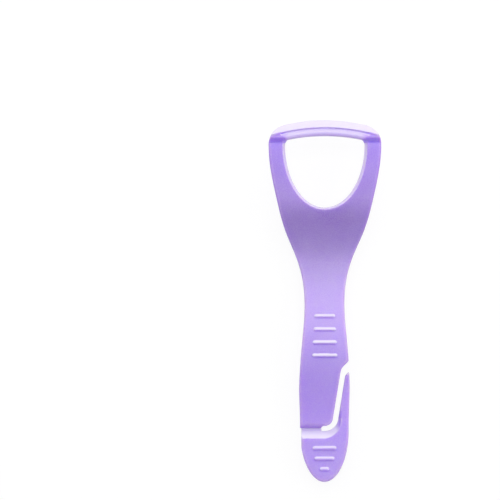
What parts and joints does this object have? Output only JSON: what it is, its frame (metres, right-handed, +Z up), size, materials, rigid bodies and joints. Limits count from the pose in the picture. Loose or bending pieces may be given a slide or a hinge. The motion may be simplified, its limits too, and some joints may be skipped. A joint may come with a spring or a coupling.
{
  "type": "tongue scraper",
  "caption": "Moulded tongue scraper: looped head with a raised bowed scraping bar, dipped throat, ribbed waisted grip and a sprung rim clip cut into the tail.",
  "frame": {"origin": "centre of the footprint on the table, with the scraper lying on its back", "axes": "+X to the right seen from the front, +Y from the tail to the scraping head, +Z up out of the front that meets the tongue"},
  "size_m": [0.045, 0.145, 0.012],
  "materials": {
    "moulded_plastic": "satin"
  },
  "bodies": {
    "frame": {"scraping_bar": "moulded_plastic", "left_arm": "moulded_plastic", "right_arm": "moulded_plastic", "throat": "moulded_plastic", "grip": "moulded_plastic", "grip_ribs": "moulded_plastic", "living_hinge": "moulded_plastic"},
    "clip": {"thumb_tab": "moulded_plastic", "clip_prong": "moulded_plastic", "thumb_ribs": "moulded_plastic"}
  },
  "joints": [
    {"name": "clip_flex", "type": "hinge", "parent": "frame", "child": "clip", "pos_m": [-0.0047, -0.05161, 0.00035], "axis": [1, 0, 0], "range_deg": [-6, 12], "stiffness_Nm_per_rad": 0.15, "deforming": ["living_hinge"]}
  ]
}
